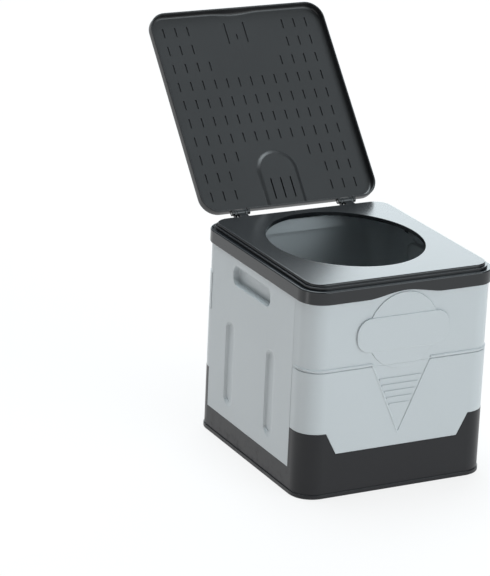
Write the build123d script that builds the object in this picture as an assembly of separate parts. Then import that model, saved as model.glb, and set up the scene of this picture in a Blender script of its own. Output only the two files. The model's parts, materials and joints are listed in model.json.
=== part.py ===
"""Portable camp toilet: a collapsible box with a lift-up seat and a hinged lid.

Millimetres.  -Y is the front, +Z is up, and left (-X) and right (+X) are as seen
from in front.  The origin is at the middle of the base's underside.  The lid is
drawn open on its stop and everything else is drawn as it stands ready for use.
"""
from build123d import *
from math import cos, radians
import os

# ---- overall size --------------------------------------------------------------------
frame_width = 290.0        # top frame, across the skirt (X)
frame_depth = 315.0        # top frame, front to back (Y)
seat_height = 300.0        # floor to the top of the seat
skirt_overhang = 1.8       # top frame beyond the walls below it, each side
corner_radius = 31.0       # vertical corners of the walls
wall = 2.4                 # moulded skin of the folding walls
clearance = 0.4            # between pieces that meet but are not joined
seam_gap = 0.2             # between a side panel and the corners beside it
front_wrap = 9.0           # the front wall runs this much further round than the back
edge_round = 0.7           # small rounds on moulded edges
sliver = 0.1               # overlap or gap that keeps faces from coinciding

body_width = frame_width - 2 * skirt_overhang
body_depth = frame_depth - 2 * skirt_overhang
frame_radius = corner_radius + skirt_overhang
rear_seam_y = body_depth / 2 - corner_radius
front_seam_y = rear_seam_y - front_wrap

# ---- top frame -----------------------------------------------------------------------
seat_rise = 7.5            # seat's top above the frame's
skirt_height = 18.5
skirt_thickness = 1.5
frame_edge_round = 1.6
wave_rise = 8.0            # how far the front skirt rises over the badge
wave_half_width = 62.0
flange_thickness = 2.5     # flat ring on top of the frame
collar_gap = 9.5           # between the seat's collar and the frame's opening

frame_top = seat_height - seat_rise
skirt_bottom = frame_top - skirt_height
flange_underside = frame_top - flange_thickness

# ---- base ----------------------------------------------------------------------------
base_wall = 3.0
base_floor = 3.0
base_side_height = 35.5    # base wall at the left and right sides
base_corner_height = 92.0  # base wall where it wraps the corners
notch_height = 61.5        # base wall in the middle of the front and the back
notch_shoulder_low = 50.2  # from the side of the body to the notch's lower corner
notch_shoulder_high = 34.2
foot_height = 6.0          # thin flange round the foot of the base
foot_overhang = 1.2
foot_hold = 1.0            # foot's grip on the base wall

notch_half_bottom = body_width / 2 - notch_shoulder_low
notch_half_top = body_width / 2 - notch_shoulder_high

# ---- hinge rods of the folding front and back ----------------------------------------
rod_radius = 2.0
rod_knuckle_radius = 3.6
rod_axis_inset = 10.6      # behind the wall's outer face
rod_end_gap = 4.2          # rod's end to the start of the rounded corner
rod_end_reach = 4.0        # rod beyond the last knuckle
lower_rod_rise = 12.5      # lower rod above the notch
upper_rod_drop = 9.5       # upper rod below the frame's top
knuckle_stations = 9
knuckle_gap = 0.5          # along a hinge, between neighbours
knuckle_room = 0.2         # round a knuckle that turns in a cut-out
running_gap = 0.05         # radial, pin in a turning bore
cover_thickness = 1.2      # apron inside the wall that hides the upper knuckles
cover_drop = 12.0          # apron's foot below the upper rod
knuckle_web = 9.0          # height of the web that holds a knuckle to its wall
base_lug_drop = 16.0       # foot of the base's lugs below the notch

rod_half_length = body_width / 2 - corner_radius - rod_end_gap
lower_rod_height = notch_height + lower_rod_rise
upper_rod_height = frame_top - upper_rod_drop
fold_height = (lower_rod_height + upper_rod_height) / 2  # two halves of one length

# ---- folding walls -------------------------------------------------------------------
fold_gap = 0.2
lower_inset = 0.3          # lower panels sit back from the base
upper_inset = 1.4          # upper panels sit further back
lip_round = 1.0            # upper edge of the lower panels
foot_lip_thickness = 2.0   # lip that tucks the lower panel behind the base
foot_lip_drop = 10.0       # lip's foot below the base's rim
foot_lip_rise = 6.0        # and its head above it
panel_tuck = 1.0           # upper panel's top above the upper rod
v_half_width = 43.5        # recessed V in the lower front panel
v_tip_rise = 18.0          # V's tip above the notch
v_slope = 40.0             # slope of the V's sides, degrees
rib_count = 5
rib_pitch = 9.2
rib_first_drop = 20.5      # first rib below the fold
rib_height = 1.2
rib_width = 2.4
rib_side_gap = 3.2         # rib's end to the V's side
step_drop = 42.0           # styled step across the upper rear panel, below the skirt
step_proud = 0.9
badge_radius = 53.5        # raised round badge on the upper front panel
badge_drop = 48.5          # badge's centre below the skirt
badge_proud = 1.5
badge_root = 1.0           # badge's hold in the panel behind it
pill_length = 140.0        # raised obround across the badge
pill_width = 48.0
pill_radius = 21.0
pill_drop = 2.0            # obround's centre below the badge's
pill_proud = 2.8
badge_edge_round = 1.0

v_tip_height = notch_height + v_tip_rise
badge_height = skirt_bottom - badge_drop
rear_step_height = skirt_bottom - step_drop

# ---- side panels ---------------------------------------------------------------------
panel_thickness = 4.0
panel_hinge_radius = 4.0
panel_pin_radius = 1.5
left_hinge_drop = 12.5     # below the frame's top: the two panels stack when swung in
right_hinge_drop = 17.2
lug_width = 10.0
lug_pitch = 78.0
lug_room = 0.6             # round a lug, in the panel's cut-out
side_detail_y = 9.0        # middle of the grip and of the pair of grooves
grip_length = 108.0        # grip pocket in each side panel
grip_width = 26.0
grip_radius = 10.0
grip_drop = 24.5           # grip's middle below the skirt
grip_depth = 10.0
grip_wall = 2.0
pocket_round = 2.0         # round the grip pocket's floor
mouth_chamfer = 1.1        # round the mouths of recesses
channel_width = 16.0       # upright grooves in the side panels
channel_foot_rise = 25.5   # grooves' foot above the base's side wall
channel_head_drop = 73.5   # and their head below the grip's middle
channel_spacing = 59.5
channel_depth = 4.2
channel_back = 1.4         # skin behind a groove
channel_draft = 14.0       # slope of a groove's sides, degrees

left_hinge_height = frame_top - left_hinge_drop
right_hinge_height = frame_top - right_hinge_drop
grip_height = skirt_bottom - grip_drop
channel_foot = base_side_height + channel_foot_rise
channel_head = grip_height - channel_head_drop
channel_length = channel_head - channel_foot
channel_height = (channel_head + channel_foot) / 2

# ---- lid and seat hinge --------------------------------------------------------------
axis_setback = 5.7         # common axis of the lid and the seat, behind the frame
axis_rise = 0.2            # and above the seat's top
knuckle_radius = 4.0
hinge_pin_radius = 1.5
tab_centre = 84.0          # hinge tabs, from the middle
tab_width = 12.0
tab_root = 4.0             # tab's hold in the seat plate
bracket_width = 3.2
bracket_drop = 13.0        # bracket's foot below the frame's top
bracket_head = 3.0
lid_knuckle_width = 3.6
lid_open_angle = 131.5     # from closed to its stop

axis_y = frame_depth / 2 + axis_setback
axis_z = seat_height + axis_rise

# ---- seat ----------------------------------------------------------------------------
seat_gap = 0.3             # seat above the frame's top
seat_flange_height = 3.5
seat_plate_inset = 9.5     # from the frame's edge
seat_skin = 2.8
seat_edge_round = 1.8
hole_width = 212.0         # seat opening, across
hole_depth = 238.0         # seat opening, front to back
hole_centre_y = 12.0
hole_round = 2.0
collar_depth = 5.4         # collar round the opening, below the seat's top
collar_wall = 2.5

seat_bottom = frame_top + seat_gap
seat_step = seat_bottom + seat_flange_height
frame_opening_width = hole_width + 2 * (collar_wall + collar_gap)
frame_opening_depth = 2 * hole_centre_y + hole_depth + 2 * (collar_wall + collar_gap)

# ---- lid -----------------------------------------------------------------------------
lid_skin = 2.4
lid_side_fit = 0.8         # between the closed lid and the seat plate, each side
lid_front_fit = 1.3
lid_rear_overhang = 3.2    # beyond the frame's rear edge
lid_rim_gap = 0.6          # above the seat's flange
lid_thickness = 13.0       # rim to top
lid_edge_round = 3.5
lid_notch_depth = 3.0      # room behind the rear skirt for the brackets

lid_side_inset = seat_plate_inset - lid_side_fit - lid_skin
lid_front_inset = seat_plate_inset - lid_front_fit - lid_skin
lid_width = frame_width - 2 * lid_side_inset
lid_corner_radius = frame_radius - lid_side_inset
lid_rim_height = seat_step + lid_rim_gap
seat_flange_inset = lid_side_inset  # the closed lid stands over the flange


# ---- shapes used many times ----------------------------------------------------------
def rounded_block(width, depth, radius, bottom, top, centre_y=0.0):
    """An upright block with rounded vertical corners."""
    outline = RectangleRounded(width, depth, radius)
    return Pos(0, centre_y, bottom) * extrude(outline, amount=top - bottom)


def inset_block(inset, bottom, top):
    """The body's outline drawn in by inset, between two heights."""
    return rounded_block(body_width - 2 * inset, body_depth - 2 * inset, corner_radius - inset,
                         bottom, top)


def block(x0, x1, y0, y1, z0, z1):
    """A plain block between two corners."""
    middle = Pos((x0 + x1) / 2, (y0 + y1) / 2, (z0 + z1) / 2)
    return middle * Box(x1 - x0, y1 - y0, z1 - z0)


def bar_x(radius, x0, x1, y, z):
    """A round bar along X."""
    return Pos((x0 + x1) / 2, y, z) * Rot(0, 90, 0) * Cylinder(radius, x1 - x0)


def bar_y(radius, y0, y1, x, z):
    """A round bar along Y."""
    return Pos(x, (y0 + y1) / 2, z) * Rot(90, 0, 0) * Cylinder(radius, y1 - y0)


def front_prism(points, y0, y1):
    """A closed outline in X and Z, swept from y0 to y1."""
    outline = make_face(Polyline(*points, close=True))
    return Pos(0, y1, 0) * Rot(90, 0, 0) * extrude(outline, amount=y1 - y0)


def side_outline(x, outline):
    """A sketch stood up at a given X, its own X along Y and its own Y along Z."""
    return Plane(origin=(x, 0, 0), x_dir=(0, 1, 0), z_dir=(1, 0, 0)) * outline


def below(height):
    """All the space under a height."""
    return block(-frame_width, frame_width, -frame_depth, frame_depth, -1, height)


def facing(side, solid):
    """The solid as drawn for the front, or turned to face the back."""
    return solid if side < 0 else Rot(0, 0, 180) * solid


def round_top(solid, radius):
    return fillet(solid.edges().group_by(Axis.Z)[-1], radius)


def round_bottom(solid, radius):
    return fillet(solid.edges().group_by(Axis.Z)[0], radius)


def joined(solid, additions):
    for addition in additions:
        solid = solid + addition
    return solid


def wrap_region(side, bottom, top):
    """The front of the body back to its seam; the back's wrap is shorter."""
    seam = front_seam_y if side < 0 else rear_seam_y
    return block(-body_width, body_width, -body_depth, -seam, bottom, top)


def wrap_skin(side, inset, thickness, bottom, top):
    """A skin round one end of the body and both its corners."""
    skin = inset_block(inset, bottom, top) - inset_block(inset + thickness, bottom - 1, top + 1)
    return skin & wrap_region(side, bottom, top)


def notch_prism(drop, reach):
    """Everything above the base's front edge line, lowered by drop."""
    slant = (notch_half_top - notch_half_bottom) / (base_corner_height - notch_height)
    shift = drop * slant
    low, high, top = notch_height - drop, base_corner_height - drop, seat_height
    points = [
        (-notch_half_bottom - shift, low),
        (notch_half_bottom + shift, low),
        (notch_half_top + shift, high),
        (body_width, high),
        (body_width, top),
        (-body_width, top),
        (-body_width, high),
        (-notch_half_top - shift, high),
    ]
    return front_prism(points, -reach, 0)


# ---- folding hinges ------------------------------------------------------------------
def stations():
    """Alternating X spans of a folding hinge's knuckles, with which leaf owns each."""
    row = 2 * (rod_half_length - rod_end_reach)
    pitch = row / knuckle_stations
    for index in range(knuckle_stations):
        start = index * pitch - row / 2
        yield index % 2 == 0, start + knuckle_gap / 2, start + pitch - knuckle_gap / 2


def rod_axis_y():
    return -body_depth / 2 + rod_axis_inset


def fold_knuckles(owner, height, reach, web_low, web_high):
    """One leaf's knuckles of a front hinge, webbed to a wall whose middle is at reach."""
    solids = []
    for belongs, x0, x1 in stations():
        if belongs == owner:
            knuckle = bar_x(rod_knuckle_radius, x0, x1, rod_axis_y(), height)
            web = block(x0, x1, reach, rod_axis_y(), web_low, web_high)
            solids.append(knuckle + web)
    return solids


def knuckle_rooms(owner, front, bottom, top, side_room):
    """Cut-outs that the other leaf's knuckles turn in."""
    return [block(x0 - side_room, x1 + side_room, front, 0, bottom, top)
            for belongs, x0, x1 in stations() if belongs == owner]


def fold_bore(height):
    """The hole that a folding hinge's rod runs in."""
    reach = rod_half_length + knuckle_gap
    return bar_x(rod_radius + running_gap, -reach, reach, rod_axis_y(), height)


def fold_rod(side, height):
    rod = bar_x(rod_radius, -rod_half_length, rod_half_length, rod_axis_y(), height)
    return facing(side, rod)


# ---- base ----------------------------------------------------------------------------
def base_lugs(side):
    """Knuckles at the base's rim, trimmed to clear the wall that stands in front of them."""
    reach = -body_depth / 2 + base_wall / 2
    solid_skin = lower_inset + wall + clearance
    wall_room = wrap_skin(side, -foot_overhang, foot_overhang + solid_skin,
                          notch_height - clearance, seat_height)
    lugs = fold_knuckles(True, lower_rod_height, reach, notch_height - base_lug_drop,
                         lower_rod_height)
    return [lug - wall_room for lug in lugs]


def base_tray():
    """Floor and low walls, raised in a notched shape at the front and back."""
    shell = inset_block(0, 0, base_corner_height) - inset_block(base_wall, base_floor, seat_height)
    foot = rounded_block(body_width + 2 * foot_overhang, body_depth + 2 * foot_overhang,
                         corner_radius + foot_overhang, 0, foot_height)
    foot = round_bottom(round_top(foot, edge_round), edge_round)
    foot = foot - inset_block(foot_hold, -1, foot_height + 1)
    tray = shell + foot
    tray = tray - block(-body_width, body_width, -front_seam_y, rear_seam_y,
                        base_side_height, seat_height)
    for side in (-1, 1):
        tray = tray - facing(side, notch_prism(0, body_depth))
        tray = joined(tray, [facing(side, lug) for lug in base_lugs(side)])
        tray = tray - facing(side, fold_bore(lower_rod_height))
    return tray


# ---- folding walls -------------------------------------------------------------------
def foot_lip(side):
    """Lip that drops behind the base's rim, and the shelf that ties it to the wall."""
    outside = base_wall + clearance
    top = base_corner_height + foot_lip_rise
    lip = wrap_skin(side, outside, foot_lip_thickness, notch_height - foot_lip_drop - 2, top)
    lip = lip & notch_prism(foot_lip_drop, body_depth)
    tie = wrap_skin(side, wall, outside + foot_lip_thickness / 2 - wall, notch_height, top)
    tie = tie & notch_prism(-2 * clearance, body_depth) - notch_prism(-foot_lip_rise, body_depth)
    return lip + tie


def lower_panel(side):
    """Lower half of the folding front or back, above the base's notched edge."""
    top = fold_height - fold_gap / 2
    outer = round_top(inset_block(lower_inset, notch_height, top), lip_round)
    hollow = inset_block(lower_inset + wall, notch_height - 1, top + 1)
    skin = (outer - hollow) & wrap_region(side, notch_height, top)
    skin = skin & notch_prism(-clearance, body_depth)
    reach = -body_depth / 2 + lower_inset + wall / 2
    foot = fold_knuckles(False, lower_rod_height, reach, lower_rod_height,
                         lower_rod_height + knuckle_web)
    head = fold_knuckles(True, fold_height, reach, fold_height - knuckle_web, top)
    panel = joined(skin + foot_lip(side), foot + head)
    if side < 0:
        panel = joined(panel - v_recess(), v_ribs())
        panel = panel + (badge() & below(top))
    turning = rod_knuckle_radius + knuckle_room
    base_lug_rooms = knuckle_rooms(True, -body_depth / 2 + base_wall + sliver, 0,
                                   lower_rod_height + turning, knuckle_gap)
    upper_leaf_rooms = knuckle_rooms(False, rod_axis_y() - turning, fold_height - turning,
                                     seat_height, knuckle_gap / 2)
    for room in base_lug_rooms + upper_leaf_rooms:
        panel = panel - room
    panel = panel - fold_bore(lower_rod_height) - fold_bore(fold_height)
    return facing(side, panel)


def v_outline(grow):
    return [(-v_half_width - grow, fold_height + 1), (v_half_width + grow, fold_height + 1),
            (0, v_tip_height - grow)]


def v_recess():
    """The V that sits back level with the upper panel, with sloped sides."""
    face = -body_depth / 2 + lower_inset
    sunk = upper_inset - lower_inset
    outline = make_face(Polyline(*v_outline(sunk), close=True))
    sloped = Pos(0, face, 0) * Rot(90, 0, 0) * extrude(outline, amount=-sunk, taper=v_slope)
    return sloped + front_prism(v_outline(sunk), face - 1, face + sliver / 10)


def v_ribs():
    """Raised bars across the V, shorter towards its tip."""
    front = -body_depth / 2 + upper_inset
    slope = v_half_width / (fold_height - v_tip_height)
    ribs = []
    for index in range(rib_count):
        height = fold_height - rib_first_drop - index * rib_pitch
        half = (height - v_tip_height) * slope - rib_side_gap
        ribs.append(block(-half, half, front - rib_height, front + wall / 4,
                          height - rib_width / 2, height + rib_width / 2))
    return ribs


def knuckle_cover():
    """Apron inside the wall that hides the upper hinge from the opening in the seat."""
    back = rod_axis_y() + rod_knuckle_radius + knuckle_room
    foot = upper_rod_height - cover_drop
    inner_skin = -body_depth / 2 + upper_inset + wall / 2
    apron = block(-rod_half_length, rod_half_length, back, back + cover_thickness, foot,
                  flange_underside - clearance)
    shelf = block(-rod_half_length, rod_half_length, inner_skin, back + cover_thickness, foot,
                  foot + cover_thickness)
    return apron + shelf


def upper_panel(side):
    """Upper half of the folding front or back, tucked behind the frame's skirt."""
    bottom = fold_height + fold_gap / 2
    top = upper_rod_height + panel_tuck
    skin = wrap_skin(side, upper_inset, wall, bottom, top)
    reach = -body_depth / 2 + upper_inset + wall / 2
    head = fold_knuckles(False, upper_rod_height, reach, upper_rod_height - knuckle_web,
                         upper_rod_height)
    foot = fold_knuckles(False, fold_height, reach, bottom, fold_height + knuckle_web)
    panel = joined(skin + knuckle_cover(), head + foot)
    if side < 0:
        panel = panel + (badge() - below(bottom))
    else:
        step = round_top(inset_block(upper_inset - step_proud, bottom, rear_step_height),
                         edge_round)
        step = step - inset_block(upper_inset + wall / 2, bottom - 1, seat_height)
        panel = panel + (step & wrap_region(side, bottom, seat_height))
    turning = rod_knuckle_radius + knuckle_room
    for room in knuckle_rooms(True, rod_axis_y() - turning, bottom - 1, fold_height + turning,
                              knuckle_gap / 2):
        panel = panel - room
    panel = panel - fold_bore(fold_height) - fold_bore(upper_rod_height)
    return facing(side, panel)


def badge():
    """Plain raised disc with an obround across it."""
    root_y = -body_depth / 2 + upper_inset + badge_root
    disc = round_top(extrude(Circle(badge_radius), amount=badge_root + badge_proud),
                     badge_edge_round)
    disc = Pos(0, root_y, badge_height) * Rot(90, 0, 0) * disc
    outline = RectangleRounded(pill_length, pill_width, pill_radius)
    pill = round_top(extrude(outline, amount=badge_root + pill_proud), badge_edge_round)
    pill = Pos(0, root_y, badge_height - pill_drop) * Rot(90, 0, 0) * pill
    under_skirt = block(-pill_length, pill_length, -body_depth, 0,
                        wave_height(0) - 2 * clearance, seat_height)
    return disc - under_skirt + pill


# ---- side panels ---------------------------------------------------------------------
def panel_ends():
    """Y of a side panel's two upright edges."""
    return -(front_seam_y - seam_gap), rear_seam_y - seam_gap


def lug_stations():
    return [index * lug_pitch for index in (-1, 0, 1)]


def sunk_shape(across, up, radius, depth, y, z, taper=0.0):
    """A rounded rectangle sunk into the left side of the body."""
    outline = Pos(y, z) * RectangleRounded(across, up, radius)
    return extrude(side_outline(-body_width / 2, outline), amount=depth, taper=taper)


def recess(across, up, radius, depth, y, z, taper=0.0, floor_round=0.0):
    """A sunk shape with a chamfered mouth."""
    pocket = sunk_shape(across, up, radius, depth, y, z, taper)
    if floor_round:
        pocket = fillet(pocket.edges().group_by(Axis.X)[-1], floor_round)
    mouth = sunk_shape(across + 2 * mouth_chamfer, up + 2 * mouth_chamfer,
                       radius + mouth_chamfer, mouth_chamfer, y, z, 45)
    return pocket + mouth


def side_panel(side, hinge_height):
    """A side wall that hangs from the frame: grooves, a grip pocket and a hinge edge."""
    outer = -body_width / 2
    axis_x = outer + panel_hinge_radius
    front, rear = panel_ends()
    panel = block(outer, outer + panel_thickness, front, rear, base_side_height + clearance,
                  hinge_height)
    panel = panel + bar_y(panel_hinge_radius, front, rear, axis_x, hinge_height)
    panel = panel + sunk_shape(grip_length + 2 * grip_wall, grip_width + 2 * grip_wall,
                               grip_radius + grip_wall, grip_depth + grip_wall, side_detail_y,
                               grip_height)
    groove_radius = channel_width / 2 - sliver
    for y in (side_detail_y - channel_spacing, side_detail_y + channel_spacing):
        panel = panel + sunk_shape(channel_width + 2 * channel_back,
                                   channel_length + 2 * channel_back,
                                   groove_radius + channel_back, channel_depth + channel_back, y,
                                   channel_height)
        panel = panel - recess(channel_width, channel_length, groove_radius, channel_depth, y,
                               channel_height, taper=channel_draft)
    panel = panel - recess(grip_length, grip_width, grip_radius, grip_depth, side_detail_y,
                           grip_height, floor_round=pocket_round)
    reach = panel_hinge_radius + lug_room
    for y in lug_stations():
        half = lug_width / 2 + knuckle_gap
        panel = panel - block(outer - 1, axis_x + reach, y - half, y + half,
                              hinge_height - reach, seat_height)
    panel = panel - bar_y(panel_pin_radius + running_gap, -body_depth, body_depth, axis_x,
                          hinge_height)
    return panel if side < 0 else mirror(panel, Plane.YZ)


def panel_rod(side, hinge_height):
    """The long rod that a side panel swings on."""
    front, rear = panel_ends()
    x = side * (body_width / 2 - panel_hinge_radius)
    return bar_y(panel_pin_radius, front, rear, x, hinge_height)


# ---- top frame -----------------------------------------------------------------------
def wave_height(x):
    """Lower edge of the front skirt."""
    if abs(x) >= wave_half_width:
        return skirt_bottom
    return skirt_bottom + wave_rise * (1 + cos(radians(180 * x / wave_half_width))) / 2


def wave_cut():
    """What the front skirt loses over the badge: a smooth low arch."""
    steps = 8
    span = [wave_half_width * (2 * index / steps - 1) for index in range(steps + 1)]
    arch = Spline(*[(x, wave_height(x)) for x in span], tangents=[(1, 0), (1, 0)])
    low = skirt_bottom - wave_rise
    sides = Polyline((wave_half_width, skirt_bottom), (wave_half_width, low),
                     (-wave_half_width, low), (-wave_half_width, skirt_bottom))
    return Rot(90, 0, 0) * extrude(make_face(arch + sides), amount=frame_depth)


def panel_lug(side, hinge_height, y):
    """One of the frame's lugs that a side panel's rod passes through."""
    x = side * (body_width / 2 - panel_hinge_radius)
    y0, y1 = y - lug_width / 2, y + lug_width / 2
    web = block(x - panel_hinge_radius, x + panel_hinge_radius, y0, y1, hinge_height,
                flange_underside + flange_thickness / 2)
    lug = web + bar_y(panel_hinge_radius, y0, y1, x, hinge_height)
    return lug - bar_y(panel_pin_radius + running_gap, y0 - 1, y1 + 1, x, hinge_height)


def frame_lugs():
    """The frame's own knuckles of a folding hinge."""
    front, back = rod_axis_y() - rod_knuckle_radius, rod_axis_y() + rod_knuckle_radius
    for belongs, x0, x1 in stations():
        if belongs:
            web = block(x0, x1, front, back, upper_rod_height,
                        flange_underside + flange_thickness / 2)
            yield web + bar_x(rod_knuckle_radius, x0, x1, rod_axis_y(), upper_rod_height)


def top_frame():
    """Ring with a skirt outside, a flat top and lugs for every hinge it carries."""
    outer = rounded_block(frame_width, frame_depth, frame_radius, skirt_bottom, frame_top)
    outer = round_bottom(round_top(outer, frame_edge_round), edge_round)
    hollow = rounded_block(frame_width - 2 * skirt_thickness, frame_depth - 2 * skirt_thickness,
                           frame_radius - skirt_thickness, skirt_bottom - 1, flange_underside)
    opening = rounded_block(frame_opening_width, frame_opening_depth, corner_radius,
                            skirt_bottom, seat_height)
    ring = outer - hollow - opening - wave_cut()
    for side, height in ((-1, left_hinge_height), (1, right_hinge_height)):
        ring = joined(ring, [panel_lug(side, height, y) for y in lug_stations()])
    for side in (-1, 1):
        ring = joined(ring, [facing(side, lug) for lug in frame_lugs()])
        ring = ring - facing(side, fold_bore(upper_rod_height))
    ring = joined(ring, [rear_bracket(x0, x1) for x0, x1 in bracket_spans()])
    return ring - hinge_bore()


def bracket_spans():
    """X spans of the frame's four rear brackets, two beside each hinge tab."""
    for side in (-1, 1):
        for edge in (-1, 1):
            near = side * tab_centre + edge * (tab_width / 2 + knuckle_gap)
            far = near + edge * bracket_width
            yield min(near, far), max(near, far)


def rear_bracket(x0, x1):
    """A gusset from the frame's rear skirt up to the hinge axis."""
    skirt = (frame_depth - skirt_thickness) / 2
    outline = make_face(Polyline((skirt, frame_top - bracket_drop),
                                 (axis_y + knuckle_radius, axis_z),
                                 (axis_y - knuckle_radius, axis_z),
                                 (skirt, frame_top - bracket_head), close=True))
    web = extrude(side_outline(x0, outline), amount=x1 - x0)
    return web + bar_x(knuckle_radius, x0, x1, axis_y, axis_z)


def hinge_bore():
    return bar_x(hinge_pin_radius + running_gap, -frame_width, frame_width, axis_y, axis_z)


def hinge_pin(side):
    """Steel pin through the frame's brackets, the seat's tab and the lid's knuckles."""
    half = tab_width / 2 + bracket_width + lid_knuckle_width + 2 * knuckle_gap
    middle = side * tab_centre
    return bar_x(hinge_pin_radius, middle - half, middle + half, axis_y, axis_z)


# ---- seat ----------------------------------------------------------------------------
def seat_layer(inset, bottom, top):
    """A slab of the seat that follows the frame's outline, drawn in by inset."""
    return rounded_block(frame_width - 2 * inset, frame_depth - 2 * inset,
                         frame_radius - inset, bottom, top)


def seat_hole(grow, bottom, top):
    outline = Ellipse(hole_width / 2 + grow, hole_depth / 2 + grow)
    return Pos(0, hole_centre_y, bottom) * extrude(outline, amount=top - bottom)


def seat_plate():
    """Stepped plate with an oval opening, a collar below it and two hinge tabs."""
    flange = round_top(seat_layer(seat_flange_inset, seat_bottom, seat_step), edge_round)
    plate = round_top(seat_layer(seat_plate_inset, seat_bottom, seat_height), seat_edge_round)
    hollow = seat_layer(seat_plate_inset + seat_skin, seat_bottom - 1, seat_height - seat_skin)
    plate = plate + flange - hollow
    collar_foot = seat_height - collar_depth
    plate = plate + seat_hole(collar_wall, collar_foot, seat_height - seat_skin / 2)
    plate = plate - seat_hole(0, collar_foot - 1, seat_height + 1)
    rim = plate.edges().filter_by(GeomType.ELLIPSE).group_by(Axis.Z)[-1]
    plate = fillet(rim, hole_round)
    for side in (-1, 1):
        x0 = side * tab_centre - tab_width / 2
        x1 = side * tab_centre + tab_width / 2
        root = frame_depth / 2 - seat_plate_inset - tab_root
        tab = block(x0, x1, root, axis_y, seat_step, seat_height)
        plate = plate + (tab + bar_x(knuckle_radius, x0, x1, axis_y, axis_z))
    return plate - hinge_bore()


# ---- lid -----------------------------------------------------------------------------
def lid_closed():
    """Shallow tray, drawn shut: rim down, with knuckles at its rear edge."""
    front = -frame_depth / 2 + lid_front_inset
    rear = frame_depth / 2 + lid_rear_overhang
    depth = rear - front
    centre = (front + rear) / 2
    top = lid_rim_height + lid_thickness
    tray = rounded_block(lid_width, depth, lid_corner_radius, lid_rim_height, top, centre)
    tray = round_top(tray, lid_edge_round)
    hollow = rounded_block(lid_width - 2 * lid_skin, depth - 2 * lid_skin,
                           lid_corner_radius - lid_skin, lid_rim_height - 1, top - lid_skin,
                           centre)
    tray = tray - hollow
    notch_half = tab_width / 2 + bracket_width + 2 * knuckle_gap
    for side in (-1, 1):
        middle = side * tab_centre
        tray = tray - block(middle - notch_half, middle + notch_half,
                            rear - lid_skin - lid_notch_depth, rear + lid_thickness,
                            lid_rim_height - 1, top + 1)
        for edge in (-1, 1):
            near = middle + edge * notch_half
            far = near + edge * lid_knuckle_width
            x0, x1 = min(near, far), max(near, far)
            knuckle = bar_x(knuckle_radius, x0, x1, axis_y, axis_z)
            web = block(x0, x1, rear - lid_skin, axis_y, axis_z - knuckle_radius,
                        axis_z + knuckle_radius)
            tray = tray + (knuckle + web)
    return tray - hinge_bore()


def lid():
    """The lid turned back about the hinge to its stop."""
    turned = Rot(-lid_open_angle, 0, 0) * (Pos(0, -axis_y, -axis_z) * lid_closed())
    return Pos(0, axis_y, axis_z) * turned


nodes = {
    "base_tray": base_tray(),
    "front_panel_lower": lower_panel(-1),
    "front_panel_upper": upper_panel(-1),
    "rear_panel_lower": lower_panel(1),
    "rear_panel_upper": upper_panel(1),
    "left_side_panel": side_panel(-1, left_hinge_height),
    "right_side_panel": side_panel(1, right_hinge_height),
    "top_frame": top_frame(),
    "seat_plate": seat_plate(),
    "lid": lid(),
    "front_base_hinge_rod": fold_rod(-1, lower_rod_height),
    "front_fold_hinge_rod": fold_rod(-1, fold_height),
    "front_frame_hinge_rod": fold_rod(-1, upper_rod_height),
    "rear_base_hinge_rod": fold_rod(1, lower_rod_height),
    "rear_fold_hinge_rod": fold_rod(1, fold_height),
    "rear_frame_hinge_rod": fold_rod(1, upper_rod_height),
    "left_panel_hinge_rod": panel_rod(-1, left_hinge_height),
    "right_panel_hinge_rod": panel_rod(1, right_hinge_height),
    "left_seat_hinge_pin": hinge_pin(-1),
    "right_seat_hinge_pin": hinge_pin(1),
}

os.makedirs("parts", exist_ok=True)
for name, solid in nodes.items():
    export_step(solid, f"parts/{name}.step")
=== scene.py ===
"""Looks of the camp toilet: moulded plastics, the detailed lid and a plain studio."""
import json
from math import cos, pi, radians, sin

import bmesh
import bpy
from mathutils import Matrix, Vector


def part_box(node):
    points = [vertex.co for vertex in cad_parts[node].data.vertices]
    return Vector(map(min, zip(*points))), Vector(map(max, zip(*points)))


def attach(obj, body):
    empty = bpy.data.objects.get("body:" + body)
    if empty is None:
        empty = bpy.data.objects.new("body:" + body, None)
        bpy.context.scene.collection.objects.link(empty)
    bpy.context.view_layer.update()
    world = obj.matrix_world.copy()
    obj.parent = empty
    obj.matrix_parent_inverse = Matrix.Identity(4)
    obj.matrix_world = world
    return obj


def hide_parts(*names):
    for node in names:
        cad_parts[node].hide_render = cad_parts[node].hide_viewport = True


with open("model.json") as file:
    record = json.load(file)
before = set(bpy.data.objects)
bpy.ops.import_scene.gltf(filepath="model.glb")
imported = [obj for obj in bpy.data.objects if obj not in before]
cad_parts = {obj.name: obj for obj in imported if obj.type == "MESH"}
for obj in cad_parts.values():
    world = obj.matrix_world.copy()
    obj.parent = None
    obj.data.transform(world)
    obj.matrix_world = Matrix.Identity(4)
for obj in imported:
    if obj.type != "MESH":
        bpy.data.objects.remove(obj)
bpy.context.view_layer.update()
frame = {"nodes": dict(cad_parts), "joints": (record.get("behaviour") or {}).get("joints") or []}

MM = 0.001


# ---- shader maths --------------------------------------------------------------------
class Socket:
    """A value in a node tree: plain Python arithmetic on it adds Math nodes."""

    def __init__(self, wiring, link):
        self.wiring, self.link = wiring, link

    def _math(self, operation, first, second):
        return self.wiring.node("ShaderNodeMath", {"operation": operation}, [first, second])

    def __add__(self, other):
        return self._math("ADD", self, other)

    def __mul__(self, other):
        return self._math("MULTIPLY", self, other)

    __radd__ = __add__
    __rmul__ = __mul__


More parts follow.
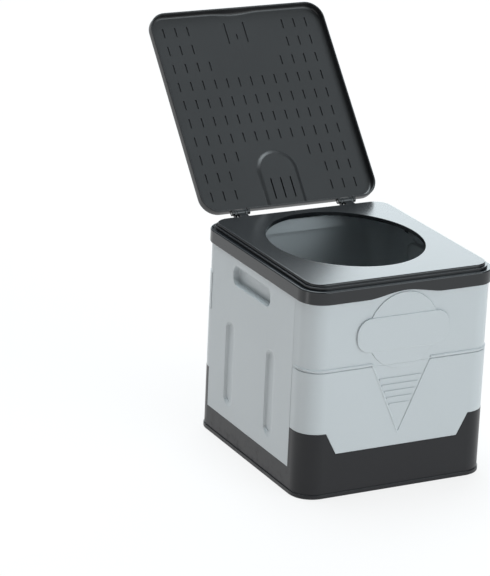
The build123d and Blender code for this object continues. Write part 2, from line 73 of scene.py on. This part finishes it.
class Wiring:
    """A node tree being wired up, with one method for every node it needs."""

    def __init__(self, tree):
        self.tree = tree

    def put(self, socket, value):
        if isinstance(value, Socket):
            self.tree.links.new(value.link, socket)
        else:
            socket.default_value = value

    def node(self, kind, settings=None, inputs=(), output=0):
        made = self.tree.nodes.new(kind)
        for key, value in (settings or {}).items():
            if key == "stops":
                self._stops(made.color_ramp, value)
            else:
                setattr(made, key, value)
        pairs = inputs.items() if isinstance(inputs, dict) else enumerate(inputs)
        for key, value in pairs:
            self.put(made.inputs[key], value)
        return Socket(self, made.outputs[output])

    def _stops(self, ramp, stops):
        ramp.interpolation = "EASE"
        while len(ramp.elements) < len(stops):
            ramp.elements.new(0.5)
        for element, (place, level) in zip(ramp.elements, stops):
            element.position = place
            element.color = (level, level, level, 1)

    def ramp(self, value, stops):
        return self.node("ShaderNodeValToRGB", {"stops": stops}, [value])

    def blend(self, factor, first, second):
        return self.node("ShaderNodeMix", {"data_type": "RGBA"}, {0: factor, 6: first, 7: second},
                         output=2)


class Finish(Wiring):
    """A material for one of the object's plastics or metals."""

    def __init__(self, name):
        self.material = bpy.data.materials.new(name)
        self.material.use_nodes = True
        super().__init__(self.material.node_tree)
        self.shader = self.tree.nodes["Principled BSDF"]

    def place(self):
        return self.node("ShaderNodeTexCoord", output="Object")

    def height(self):
        return self.node("ShaderNodeSeparateXYZ", {}, [self.place()], output="Z")

    def noise(self, scale, detail=3.0, roughness=0.5, stretch=None):
        where = self.place()
        if stretch:
            where = self.node("ShaderNodeVectorMath", {"operation": "MULTIPLY"},
                              [where, stretch])
        return self.node("ShaderNodeTexNoise", {},
                         {"Vector": where, "Scale": scale, "Detail": detail,
                          "Roughness": roughness})

    def bump(self, height, strength, distance, under=None):
        inputs = {"Strength": strength, "Distance": distance, "Height": height}
        if under:
            inputs["Normal"] = under
        return self.node("ShaderNodeBump", {}, inputs)

    def set(self, **sockets):
        for name, value in sockets.items():
            self.put(self.shader.inputs[name.replace("_", " ")], value)
        return self.material


def colour(red, green, blue):
    return (red, green, blue, 1.0)


def scaled(tone, factor):
    return (tone[0] * factor, tone[1] * factor, tone[2] * factor, 1.0)


# The plastics' noises, in cells per metre
CLOUD_SCALE = 6.0           # slow flow clouding
SPECK_SCALE = 700.0         # fine specks within it
HAIR_SCALE = 55.0           # hairline scuffs, drawn out by HAIR_STRETCH
HAIR_STRETCH = (1.0, 1.0, 3.5)
WORN_SCALE = 90.0           # rubbed patches near the floor
RIPPLE_SCALE = 9.0          # slow ripple of a moulded face
WORN_SHARE = 0.12           # how much of the worn tone shows
WORN_LIGHTER = 2.2          # the worn tone beside the plastic's own
WORN_DULLER = 0.16          # roughness that wear adds


def moulded_plastic(name, shade, gloss, grain_scale, grain_depth, clouding=0.10,
                    hair_shine=0.07, scuffed_to=0.0, specular=0.5):
    """Moulded plastic: faint flow clouding, fine grain, and scuffs that dull the shine."""
    finish = Finish(name)
    cloud = finish.ramp(finish.noise(CLOUD_SCALE, 4.0), [(0.35, 0.0), (0.7, 1.0)])
    speck = finish.ramp(finish.noise(SPECK_SCALE, 2.0), [(0.42, 0.0), (0.62, 1.0)])
    tone = finish.blend(cloud * 0.7 + speck * 0.3, shade, scaled(shade, 1.0 - clouding))
    hairs = finish.noise(HAIR_SCALE, 6.0, 0.65, HAIR_STRETCH)
    scuff = finish.ramp(hairs, [(0.55, 0.0), (0.74, 1.0)])
    rough = scuff * hair_shine + gloss
    if scuffed_to:
        low = finish.ramp(finish.height() * (1.0 / scuffed_to), [(0.0, 1.0), (1.0, 0.0)])
        worn = low * finish.ramp(finish.noise(WORN_SCALE, 5.0, 0.7), [(0.48, 0.0), (0.66, 1.0)])
        tone = finish.blend(worn * WORN_SHARE, tone, scaled(shade, WORN_LIGHTER))
        rough = rough + worn * WORN_DULLER
    grain = finish.noise(grain_scale, 2.0, 0.6)
    ripple = finish.bump(finish.noise(RIPPLE_SCALE, 1.0), 0.10, 0.0004)
    skin = finish.bump(grain, 0.35, grain_depth, ripple)
    return finish.set(Base_Color=tone, Roughness=rough, Normal=skin, Specular_IOR_Level=specular)


def drawn_steel(name):
    """Bright drawn rod with fine lines along it."""
    finish = Finish(name)
    lines = finish.noise(60.0, 4.0, 0.6, (1.0, 30.0, 30.0))
    tone = finish.blend(lines, colour(0.58, 0.58, 0.60), colour(0.42, 0.42, 0.43))
    return finish.set(Base_Color=tone, Metallic=1.0, Roughness=lines * 0.15 + 0.25,
                      Normal=finish.bump(lines, 0.3, 0.00005))


wall_grey = moulded_plastic("wall_grey", colour(0.530, 0.560, 0.573), 0.36, 1300.0, 0.00003,
                            clouding=0.035)
base_charcoal = moulded_plastic("base_charcoal", colour(0.0080, 0.0082, 0.0105), 0.33, 1200.0,
                                0.00004, scuffed_to=0.05, specular=0.36)
frame_charcoal = moulded_plastic("frame_charcoal", colour(0.0095, 0.0110, 0.0130), 0.20, 1200.0,
                                 0.00003)
seat_charcoal = moulded_plastic("seat_charcoal", colour(0.0080, 0.0090, 0.0105), 0.22, 1500.0,
                                0.00001, hair_shine=0.02)
lid_charcoal = moulded_plastic("lid_charcoal", colour(0.0170, 0.0172, 0.0182), 0.34, 1400.0,
                               0.00003, clouding=0.30)
hinge_steel = drawn_steel("hinge_steel")

NODE_FINISH = {
    "base_tray": base_charcoal,
    "top_frame": frame_charcoal,
    "seat_plate": seat_charcoal,
}


def finish_of(node):
    if node.endswith("_rod") or node.endswith("_pin"):
        return hinge_steel
    return NODE_FINISH.get(node, wall_grey)


def dress_nodes():
    for name, piece in frame["nodes"].items():
        if name != "lid":
            piece.data.materials.clear()
            piece.data.materials.append(finish_of(name))


# ---- the lid -------------------------------------------------------------------------
# Drawn shut, then turned back about its hinge to where the frame holds it.
SKIN = 2.4 * MM
CORNER = 26.5 * MM
TOP_ROUND = 3.5 * MM
RIM_ROUND = 0.8 * MM
INNER_ROUND = 4.0 * MM
RIM_BELOW_AXIS = 3.3 * MM
REAR_BEFORE_AXIS = 2.5 * MM
THUMB_DEPTH = 4.2 * MM      # finger notch in the front skirt
THUMB_HALF = 41.0 * MM
PATTERN_SHIFT = -2.4 * MM
MOTIF_MIDDLE = PATTERN_SHIFT - 1.6 * MM     # middle of the arch and the front motif
SLIT_COLUMNS = 13
SLIT_PITCH = 19.0 * MM
ROW_PITCH = 28.6 * MM
SLIT_ROWS = (3, 3, 4, 6.5, 6.5, 6.5, 6.5, 4, 3, 3)  # slits from each side in to the middle
SLIT_LENGTH = 15.0 * MM
SLIT_WIDTH = 2.0 * MM
SLIT_DEPTH = 1.5 * MM
MOTIF_FROM_FRONT = 19.5 * MM
MOTIF_SLITS = ((-15.0, 0.0, 33.0), (0.0, 18.0, 9.0), (15.0, 0.0, 33.0))  # across, start, length
ARCH_RADIUS = 33.0 * MM
ARCH_RISE = 2.0 * MM
ARCH_ROUND = 8.0 * MM
ARCH_FROM_REAR = 57.0 * MM  # centre of the arch to the hinge edge
ARCH_SLITS = (-15.5, 0.0, 15.5)
ARCH_SLIT_FROM_REAR = 30.0 * MM
ARCH_SLIT_LENGTH = 32.0 * MM
ARCH_SLIT_DEPTH = MM
KNUCKLE_RADIUS = 4.0 * MM
PIN_RADIUS = 1.55 * MM
TAB_CENTRE = 84.0 * MM
NOTCH_HALF = 10.2 * MM
NOTCH_DEPTH = 3.0 * MM
KNUCKLE_WIDTH = 3.6 * MM
LID_CREASE = 28             # degrees; a sharper turn of the mesh shades as an edge

lid_hinge = next(joint for joint in frame["joints"] if joint["name"] == "lid_hinge")
HINGE = Vector(lid_hinge["pos_m"])
SHUT_TURN = Matrix.Rotation(radians(lid_hinge["range_deg"][1]), 4, Vector(lid_hinge["axis"]))
SHUT = Matrix.Translation(HINGE) @ SHUT_TURN @ Matrix.Translation(-HINGE)

shut_points = [SHUT @ vertex.co for vertex in frame["nodes"]["lid"].data.vertices]
LID_HALF = max(point.x for point in shut_points)
LID_FRONT = min(point.y for point in shut_points)
LID_TOP = max(point.z for point in shut_points)
LID_REAR = HINGE.y - REAR_BEFORE_AXIS
LID_RIM = HINGE.z - RIM_BELOW_AXIS
LID_MIDDLE = (LID_FRONT + LID_REAR) / 2
CEILING = LID_TOP - SKIN


def thumb(x):
    """How far the finger notch pushes the front skirt in, from 0 to 1."""
    reach = min(abs(x) / THUMB_HALF, 1.0)
    return cos(reach * pi / 2) ** 2


def outline_loop(inset, z):
    """Points round the lid's outline, drawn in by inset, with the finger notch."""
    half_x = LID_HALF - inset
    front, rear = LID_FRONT + inset, LID_REAR - inset
    radius = CORNER - inset
    points = []
    corners = [(half_x - radius, rear - radius, 0), (-half_x + radius, rear - radius, 1),
               (-half_x + radius, front + radius, 2), (half_x - radius, front + radius, 3)]
    arc_steps, side_steps = 14, 36
    for index, (cx, cy, quarter) in enumerate(corners):
        for step in range(arc_steps + 1):
            angle = (quarter + step / arc_steps) * pi / 2
            points.append(Vector((cx + radius * cos(angle), cy + radius * sin(angle), z)))
        after = corners[(index + 1) % 4]
        end_angle = (quarter + 1) * pi / 2
        start = points[-1]
        end = Vector((after[0] + radius * cos(end_angle), after[1] + radius * sin(end_angle), z))
        for step in range(1, side_steps):
            points.append(start.lerp(end, step / side_steps))
    depth = (z - LID_RIM) / (LID_TOP - LID_RIM)
    for point in points:
        if point.y < front + 1e-6:
            point.y += THUMB_DEPTH * depth * thumb(point.x)
    return points


def quarter_turn(steps):
    """Angles from 0 to a right angle."""
    return [step / steps * pi / 2 for step in range(steps + 1)]


def shell_profile():
    """Insets and heights from the top face, round the rim and in to the ceiling."""
    turns = quarter_turn(5)
    for angle in turns:
        yield TOP_ROUND * (1 - sin(angle)), LID_TOP - TOP_ROUND * (1 - cos(angle))
    for angle in turns:
        yield RIM_ROUND * (1 - cos(angle)), LID_RIM + RIM_ROUND * (1 - sin(angle))
    for angle in turns:
        yield SKIN - RIM_ROUND * (1 - sin(angle)), LID_RIM + RIM_ROUND * (1 - cos(angle))
    for angle in turns:
        yield SKIN + INNER_ROUND * (1 - cos(angle)), CEILING - INNER_ROUND * (1 - sin(angle))


def lofted(loops):
    """A closed mesh through loops of equal length, capped at both ends."""
    mesh = bmesh.new()
    rings = [[mesh.verts.new(point) for point in loop] for loop in loops]
    count = len(rings[0])
    for near, far in zip(rings, rings[1:]):
        for index in range(count):
            after = (index + 1) % count
            mesh.faces.new((near[index], near[after], far[after], far[index]))
    mesh.faces.new(reversed(rings[0]))
    mesh.faces.new(rings[-1])
    bmesh.ops.recalc_face_normals(mesh, faces=mesh.faces)
    return mesh


def as_object(mesh, name):
    data = bpy.data.meshes.new(name)
    mesh.to_mesh(data)
    mesh.free()
    made = bpy.data.objects.new(name, data)
    bpy.context.scene.collection.objects.link(made)
    return made


def gathered(meshes, name):
    """Several closed meshes that don't touch, as one object."""
    whole = bmesh.new()
    for mesh in meshes:
        part = bpy.data.meshes.new("part")
        mesh.to_mesh(part)
        mesh.free()
        whole.from_mesh(part)
        bpy.data.meshes.remove(part)
    return as_object(whole, name)


def apply_modifiers(target):
    graph = bpy.context.evaluated_depsgraph_get()
    result = bpy.data.meshes.new_from_object(target.evaluated_get(graph))
    target.modifiers.clear()
    old = target.data
    target.data = result
    bpy.data.meshes.remove(old)


def combine(target, tool, operation):
    """Cuts or joins the tool into the target, and throws the tool away."""
    modifier = target.modifiers.new(operation, "BOOLEAN")
    modifier.operation = operation
    modifier.solver = "EXACT"
    modifier.object = tool
    apply_modifiers(target)
    bpy.data.objects.remove(tool)


def even_shading(made, crease):
    """Smooth shading in which large flat faces stay flat."""
    made.data.polygons.foreach_set("use_smooth", [True] * len(made.data.polygons))
    made.data.set_sharp_from_angle(angle=radians(crease))
    modifier = made.modifiers.new("even", "WEIGHTED_NORMAL")
    modifier.keep_sharp = True
    modifier.weight = 100
    apply_modifiers(made)


def lid_box(x0, x1, y0, y1, z0, z1):
    corners = [(x0, y0), (x1, y0), (x1, y1), (x0, y1)]
    return lofted([[Vector((x, y, z)) for x, y in corners] for z in (z0, z1)])


def lid_bar(radius, x0, x1):
    """A round bar on the hinge's axis."""
    steps = 28
    ring = [(radius * cos(2 * pi * step / steps), radius * sin(2 * pi * step / steps))
            for step in range(steps)]
    return lofted([[Vector((x, HINGE.y + y, HINGE.z + z)) for y, z in ring] for x in (x0, x1)])


def slit(x, y, length, depth=SLIT_DEPTH):
    """A round-ended cutter that sinks into the lid's ceiling."""
    half, reach = SLIT_WIDTH / 2, length / 2 - SLIT_WIDTH / 2
    steps = 6
    ring = []
    for end in (1, -1):
        for step in range(steps + 1):
            angle = step / steps * pi + (0 if end > 0 else pi)
            ring.append((x + half * cos(angle), y + end * reach + half * sin(angle)))
    return lofted([[Vector((px, py, z)) for px, py in ring]
                   for z in (CEILING - ARCH_RISE - MM, CEILING + depth)])


def slit_places():
    """Centres of the slits in their ten rows, which leave room for the two motifs."""
    rows = len(SLIT_ROWS)
    for row, deep in enumerate(SLIT_ROWS):
        y = LID_MIDDLE + (row - (rows - 1) / 2) * ROW_PITCH
        for column in range(SLIT_COLUMNS):
            from_side = min(column, SLIT_COLUMNS - 1 - column)
            if from_side < deep:
                yield PATTERN_SHIFT + (column - (SLIT_COLUMNS - 1) / 2) * SLIT_PITCH, y


def lid_slits():
    """Cutters for every slit: the rows, the front motif and the arch."""
    cutters = [slit(x, y, SLIT_LENGTH) for x, y in slit_places()]
    front = LID_FRONT + MOTIF_FROM_FRONT
    for across, start, length in MOTIF_SLITS:
        cutters.append(slit(MOTIF_MIDDLE + across * MM, front + (start + length / 2) * MM,
                            length * MM))
    for across in ARCH_SLITS:
        cutters.append(slit(MOTIF_MIDDLE + across * MM, LID_REAR - ARCH_SLIT_FROM_REAR,
                            ARCH_SLIT_LENGTH, ARCH_SLIT_DEPTH))
    return gathered(cutters, "slits")


def arch_pad():
    """Raised pad with a round head that runs down to the hinge edge."""
    centre_y = LID_REAR - ARCH_FROM_REAR
    foot = LID_REAR - SKIN / 2
    head_steps, round_steps = 40, 8
    loops = []
    profile = [(0.0, -SKIN / 2)]
    for step in range(1, round_steps + 1):
        way = step / round_steps
        profile.append((ARCH_ROUND * way, ARCH_RISE * (1 - cos(way * pi)) / 2))
    for inset, rise in profile:
        radius = ARCH_RADIUS - inset
        loop = [Vector((MOTIF_MIDDLE + radius * cos(pi + step / head_steps * pi),
                        centre_y + radius * sin(pi + step / head_steps * pi), CEILING - rise))
                for step in range(head_steps + 1)]
        loop.append(Vector((MOTIF_MIDDLE + radius, foot, CEILING - rise)))
        loop.append(Vector((MOTIF_MIDDLE - radius, foot, CEILING - rise)))
        loops.append(loop)
    return lofted(loops)


def knuckle_parts():
    """Notches, knuckles and bores at the two hinge tabs."""
    notches, knuckles, bores = [], [], []
    for side in (-1, 1):
        middle = side * TAB_CENTRE
        notches.append(lid_box(middle - NOTCH_HALF, middle + NOTCH_HALF,
                               LID_REAR - SKIN - NOTCH_DEPTH, LID_REAR + SKIN,
                               LID_RIM - MM, LID_TOP + MM))
        for edge in (-1, 1):
            near = middle + edge * NOTCH_HALF
            x0, x1 = sorted((near, near + edge * KNUCKLE_WIDTH))
            web = lid_box(x0, x1, LID_REAR - SKIN / 2, HINGE.y, HINGE.z - KNUCKLE_RADIUS,
                          HINGE.z + KNUCKLE_RADIUS)
            knuckles.append((web, lid_bar(KNUCKLE_RADIUS, x0, x1)))
            bores.append(lid_bar(PIN_RADIUS, x0 - MM / 2, x1 + MM / 2))
    return notches, knuckles, bores


def detailed_lid():
    """The shallow tray with its slits, arch, finger notch and knuckles."""
    lid = as_object(lofted([outline_loop(inset, z) for inset, z in shell_profile()]), "lid_tray")
    notches, knuckles, bores = knuckle_parts()
    combine(lid, as_object(arch_pad(), "arch"), "UNION")
    combine(lid, lid_slits(), "DIFFERENCE")
    combine(lid, gathered(notches, "notches"), "DIFFERENCE")
    combine(lid, gathered([web for web, bar in knuckles], "webs"), "UNION")
    combine(lid, gathered([bar for web, bar in knuckles], "bars"), "UNION")
    combine(lid, gathered(bores, "bores"), "DIFFERENCE")
    lid.data.transform(SHUT.inverted())
    lid.data.polygons.foreach_set("use_smooth", [True] * len(lid.data.polygons))
    lid.data.set_sharp_from_angle(angle=radians(LID_CREASE))
    lid.data.materials.clear()
    lid.data.materials.append(lid_charcoal)
    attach(lid, "lid")
    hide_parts("lid")


# ---- raised lips on the folding front ------------------------------------------------
LIP_PROUD = 0.35 * MM
LIP_CREST = 0.4 * MM        # half width of the lip's crest
LIP_RAMP = 1.9 * MM         # crest to the foot of the ramp
LIP_FOOT = 1.3 * MM
LIP_STEP = 1.1 * MM         # the upper panel stands this far behind the lower one
LIP_SINK = 0.3 * MM         # how deep a lip is rooted in the panel
LIP_TAPER = 60.0 * MM       # a lip dies away over this length, towards the seam
LIP_CORNER = 30.7 * MM
LIP_CREASE = 50             # degrees
V_HALF_WIDTH = 44.5 * MM    # top of the V, from the middle
V_TIP_ABOVE_NOTCH = 18.0 * MM

panel_low, panel_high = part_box("front_panel_lower")
FOLD = panel_high[2]
NOTCH = 61.5 * MM
LIP_FACE = panel_low[1]


def raised_lip(path, name, to_recess, fades):
    """A slim lip with a ramp down to the recessed side, along points and outward directions.

    to_recess is 1 or -1: the side of the path, seen along it, that the ramp runs down on.
    """
    reach, rings = 0.0, []
    for index, (point, outward) in enumerate(path):
        before, after = path[max(index - 1, 0)][0], path[min(index + 1, len(path) - 1)][0]
        across = (after - before).normalized().cross(outward) * to_recess
        reach += (point - before).length
        size = min(1.0, reach / LIP_TAPER) if fades else 1.0
        crest = LIP_PROUD * size
        profile = [(LIP_RAMP, -LIP_STEP - LIP_SINK), (LIP_RAMP, -LIP_STEP), (LIP_CREST, crest),
                   (-LIP_CREST, crest), (-LIP_FOOT, 0.0), (-LIP_FOOT, -LIP_SINK)]
        rings.append([point + across * side + outward * out for side, out in profile])
    bead = as_object(lofted(rings), name)
    even_shading(bead, LIP_CREASE)
    bead.data.materials.append(wall_grey)
    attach(bead, "box")


def fold_path(side):
    """From the seam round the corner and along the fold to the V."""
    height = FOLD - LIP_CREST
    half = panel_high[0]
    centre = Vector((half - LIP_CORNER, LIP_FACE + LIP_CORNER, height))
    path = [(Vector((half, panel_high[1] - MM, height)), Vector((1, 0, 0)))]
    for turn in quarter_turn(12):
        outward = Vector((cos(turn), -sin(turn), 0))
        path.append((centre + outward * LIP_CORNER, outward))
    path.append((Vector((V_HALF_WIDTH, LIP_FACE, height)), Vector((0, -1, 0))))
    return [(Vector((side * point.x, point.y, point.z)), Vector((side * out.x, out.y, 0)))
            for point, out in path]


def front_lips():
    """The bright edge of the fold to both sides of the V, and the V's left edge."""
    raised_lip(fold_path(-1), "fold_lip_left", -1, True)
    raised_lip(fold_path(1), "fold_lip_right", 1, True)
    forward = Vector((0, -1, 0))
    top = Vector((-V_HALF_WIDTH, LIP_FACE, FOLD - LIP_CREST))
    tip = Vector((0.0, LIP_FACE, NOTCH + V_TIP_ABOVE_NOTCH))
    raised_lip([(top, forward), (tip, forward)], "v_lip_left", -1, False)


# ---- side panels and the wrapped corners ---------------------------------------------
GROOVE_SPACING = 59.5 * MM   # each groove from the middle of the panel's details
DETAIL_Y = 9.0 * MM          # middle of the side panel's details
GROOVE_HALF_WIDTH = 8.0 * MM
GROOVE_FOOT = 61.0 * MM
GROOVE_HEAD = 176.0 * MM
FLARE = ((13.0 * MM, -0.2 * MM), (7.0 * MM, 0.7 * MM), (1.0 * MM, 2.6 * MM))  # reach, depth
FLARE_REAR = 0.12            # the flare's reach behind the groove, beside that in front
FLARE_ENDS = 0.5             # and past its head and foot
SIDE_CREASE = 30             # degrees
SEAM_STEP = 1.3 * MM         # how far the wrapped ends ease out
STEP_TOLERANCE = 0.15 * MM   # what counts as lying on the seam and the outer face
WELD = 0.001 * MM


def copy_of(node):
    """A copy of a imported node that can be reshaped."""
    made = bpy.data.objects.new(node + "_finished", frame["nodes"][node].data.copy())
    bpy.context.scene.collection.objects.link(made)
    return made


def weld(made):
    """Joins corners that lie together, so that the mesh can be cut."""
    welded = bmesh.new()
    welded.from_mesh(made.data)
    bmesh.ops.remove_doubles(welded, verts=welded.verts, dist=WELD)
    welded.to_mesh(made.data)
    welded.free()


def stands_in(made, node, body):
    """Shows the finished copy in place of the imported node."""
    made.data.materials.clear()
    made.data.materials.append(wall_grey)
    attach(made, body)
    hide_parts(node)


def groove_flare(face_x, inward, y):
    """Cutter for the soft hollow around a groove, which opens mostly towards the front."""
    steps = 12
    rings = []
    for reach, depth in FLARE:
        front, rear = GROOVE_HALF_WIDTH + reach, GROOVE_HALF_WIDTH + reach * FLARE_REAR
        half, middle = (front + rear) / 2, y + (rear - front) / 2
        past = reach * FLARE_ENDS
        head, foot = GROOVE_HEAD + past - half, GROOVE_FOOT - past + half
        ring = []
        for end, start in ((head, 0.0), (foot, pi)):
            for step in range(steps + 1):
                angle = start + step / steps * pi
                ring.append(Vector((face_x + inward * depth, middle + half * cos(angle),
                                    end + half * sin(angle))))
        rings.append(ring)
    return lofted(rings)


def finished_side(node, body, side):
    """A side panel whose two grooves open softly."""
    panel = copy_of(node)
    weld(panel)
    face_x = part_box(node)[0][0] if side < 0 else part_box(node)[1][0]
    flares = [groove_flare(face_x, -side, DETAIL_Y + way * GROOVE_SPACING) for way in (-1, 1)]
    combine(panel, gathered(flares, "flares"), "DIFFERENCE")
    even_shading(panel, SIDE_CREASE)
    stands_in(panel, node, body)


def finished_corner(node, side):
    """An upper panel whose wrapped ends ease out to meet the side panels."""
    panel = copy_of(node)
    low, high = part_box(node)
    seam_y = high[1] if side < 0 else low[1]
    for vertex in panel.data.vertices:
        at_seam = abs(vertex.co.y - seam_y) < STEP_TOLERANCE
        outside = high[0] - abs(vertex.co.x) < STEP_TOLERANCE
        if at_seam and outside:
            vertex.co.x += SEAM_STEP if vertex.co.x > 0 else -SEAM_STEP
    stands_in(panel, node, "box")


def finished_walls():
    finished_side("left_side_panel", "left_side", -1)
    finished_side("right_side_panel", "right_side", 1)
    finished_corner("front_panel_upper", -1)
    finished_corner("rear_panel_upper", 1)


dress_nodes()
finished_walls()
front_lips()
detailed_lid()


# ---- studio --------------------------------------------------------------------------
CAMERA_PLACE = Vector((-1.8802, -3.2670, 1.5384))
CAMERA_AZIMUTH = radians(-27.804)
CAMERA_ELEVATION = radians(19.209)
CAMERA_ROLL = radians(2.529)
CAMERA_LENS = 182.55
CAMERA_SENSOR = 36.0
CAMERA_REACH = 50.0


def heading(azimuth, elevation):
    """A direction: azimuth 0 is to the front, turning to the right, elevation up."""
    turn, rise = radians(azimuth), radians(elevation)
    return Vector((sin(turn) * cos(rise), -cos(turn) * cos(rise), sin(rise)))


def camera():
    """A long lens to the left of the front, a little above the seat."""
    back = Vector((sin(CAMERA_AZIMUTH) * cos(CAMERA_ELEVATION),
                   -cos(CAMERA_AZIMUTH) * cos(CAMERA_ELEVATION), sin(CAMERA_ELEVATION)))
    right = Vector((0, 0, 1)).cross(back).normalized()
    up = back.cross(right)
    turn = Matrix((right, up, back)).transposed() @ Matrix.Rotation(CAMERA_ROLL, 3, "Z")
    data = bpy.data.cameras.new("camera")
    data.lens = CAMERA_LENS
    data.sensor_width = CAMERA_SENSOR
    data.clip_end = CAMERA_REACH
    made = bpy.data.objects.new("camera", data)
    made.matrix_world = Matrix.Translation(CAMERA_PLACE) @ turn.to_4x4()
    bpy.context.scene.collection.objects.link(made)
    bpy.context.scene.camera = made


# Soft boxes in the sky: azimuth, elevation, half width in degrees, brightness
SOFT_BOXES = [
    (150, 20, 38, 3.8),    # behind, to the right: the shine on the seat
    (190, 76, 28, 8.0),    # overhead: the ledges, the seat's far lip and the inside
    (28, 12, 26, 4.0),     # low over the front: the front face
    (46, 50, 30, 0.9),     # what the open lid mirrors
]
SOFT_CORE = 0.5            # share of a soft box that is fully bright
# A brighter painted glow on a wedge of the floor, which the rounded front corner mirrors as a
# soft band
GLOW_AZIMUTH, GLOW_HALF, GLOW_LEVEL = -80, 8, 1.6
GLOW_NEAR, GLOW_FULL = 0.40, 0.60
# The floor darkens a little to the far left, which keeps the object's left side in shade
SHADE_NEAR, SHADE_FAR, SHADE_LEVEL = 0.45, 1.6, 0.86
SKY_TINT = colour(0.87, 0.96, 1.0)
SKY_LEVEL = 0.12
FLOOR_SIZE = 30.0
FLOOR_DROP = 0.5 * MM      # keeps the floor just clear of the base
PAPER_TONE = colour(0.12, 0.12, 0.12)
# strength of the paper's painted glow, which also lights the object from below
PAPER_LIGHT = 0.82


def sky():
    """Even pale light with a few soft boxes in it."""
    world = bpy.data.worlds.new("studio")
    world.use_nodes = True
    wiring = Wiring(world.node_tree)
    background = world.node_tree.nodes["Background"]
    direction = wiring.node("ShaderNodeTexCoord", output="Generated")
    level = None
    for azimuth, elevation, half_width, strength in SOFT_BOXES:
        toward = wiring.node("ShaderNodeVectorMath", {"operation": "DOT_PRODUCT"},
                             [direction, heading(azimuth, elevation)], output="Value")
        edge = cos(radians(half_width))
        core = cos(radians(half_width * SOFT_CORE))
        patch = wiring.node("ShaderNodeMapRange", {"interpolation_type": "SMOOTHSTEP"},
                            {"Value": toward, "From Min": edge, "From Max": core,
                             "To Min": 0.0, "To Max": strength})
        level = patch if level is None else level + patch
    background.inputs["Color"].default_value = SKY_TINT
    wiring.put(background.inputs["Strength"], level + SKY_LEVEL)
    bpy.context.scene.world = world


def paper_floor():
    """Pale paper sweep that stays nearly white through its own painted glow as well as the soft
    light; the glow is brighter on a wedge to the left, with painted shade further left, and also
    lights the object.
    """
    bpy.ops.mesh.primitive_plane_add(size=FLOOR_SIZE, location=(0, 0, -FLOOR_DROP))
    floor = bpy.context.object
    floor.name = "floor"
    paper = Finish("floor_paper")
    around = paper.node("ShaderNodeVectorMath", {"operation": "NORMALIZE"}, [paper.place()])
    toward = paper.node("ShaderNodeVectorMath", {"operation": "DOT_PRODUCT"},
                        [around, heading(GLOW_AZIMUTH, 0)], output="Value")
    glow = paper.node("ShaderNodeMapRange", {"interpolation_type": "SMOOTHSTEP"},
                      {"Value": toward, "From Min": cos(radians(GLOW_HALF)), "From Max": 1.0,
                       "To Min": 0.0, "To Max": GLOW_LEVEL})
    left = paper.node("ShaderNodeSeparateXYZ", {}, [paper.place()], output="X") * -1.0
    away = paper.node("ShaderNodeMapRange", {"interpolation_type": "SMOOTHSTEP"},
                      {"Value": left, "From Min": GLOW_NEAR, "From Max": GLOW_FULL,
                       "To Min": 0.0, "To Max": 1.0})
    shade = paper.node("ShaderNodeMapRange", {"interpolation_type": "SMOOTHSTEP"},
                       {"Value": left, "From Min": SHADE_NEAR, "From Max": SHADE_FAR,
                        "To Min": 1.0, "To Max": SHADE_LEVEL})
    paper.set(Base_Color=PAPER_TONE, Roughness=0.9, Specular_IOR_Level=0.0,
              Emission_Color=glow * away + shade, Emission_Strength=PAPER_LIGHT)
    floor.data.materials.append(paper.material)


camera()
sky()
paper_floor()
bpy.context.scene.view_settings.view_transform = "Standard"
